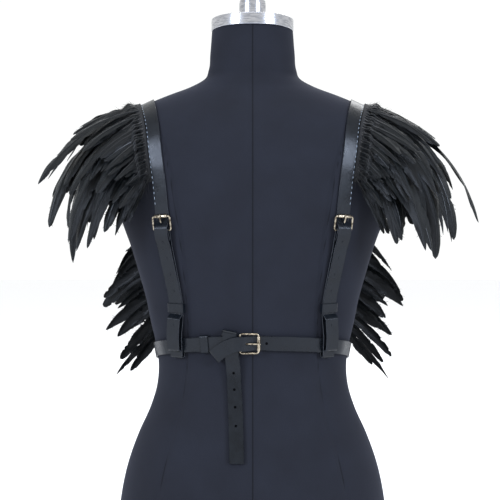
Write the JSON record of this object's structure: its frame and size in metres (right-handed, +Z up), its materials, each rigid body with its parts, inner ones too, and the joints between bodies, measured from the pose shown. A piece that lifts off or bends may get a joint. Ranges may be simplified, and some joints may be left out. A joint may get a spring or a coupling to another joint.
{
  "type": "feather-winged leather harness on a limbless dress form",
  "caption": "Black leather strap harness with rooster feather wings at the shoulders, buckled at the back over a limbless dress form.",
  "frame": {"origin": "middle of the dress form's flat underside", "axes": "+Z up; the garment's back and its buckles face -Y, its front +Y; the wearer's left is -X"},
  "size_m": [0.5404, 0.2633, 0.7143],
  "materials": {
    "leather": "glossy smooth black hide",
    "buckle_metal": "antique, lightly worn",
    "feather": "black rooster feather with a faint blue-green sheen",
    "jersey": "matt black knitted jersey",
    "chrome": "polished"
  },
  "bodies": {
    "root": {"form_body": "jersey", "neck_cap": "chrome", "neck_knob": "chrome", "shoulder_strap_left": "leather", "shoulder_strap_right": "leather", "buckle_strap_left": "leather", "buckle_strap_right": "leather", "strap_keeper_left": "leather", "strap_keeper_right": "leather", "shoulder_buckle_frame_left": "buckle_metal", "shoulder_buckle_frame_right": "buckle_metal", "shoulder_buckle_roller_left": "buckle_metal", "shoulder_buckle_roller_right": "buckle_metal", "shoulder_buckle_prong_left": "buckle_metal", "shoulder_buckle_prong_right": "buckle_metal", "waist_belt": "leather", "belt_keeper": "leather", "belt_buckle_frame": "buckle_metal", "belt_buckle_roller": "buckle_metal", "belt_buckle_prong": "buckle_metal", "wing_feathers_1_left": "feather", "wing_feathers_2_left": "feather", "wing_feathers_3_left": "feather", "wing_feathers_1_right": "feather", "wing_feathers_2_right": "feather", "wing_feathers_3_right": "feather", "front_feathers_1_left": "feather", "front_feathers_2_left": "feather", "front_feathers_1_right": "feather", "front_feathers_2_right": "feather"}
  },
  "joints": []
}
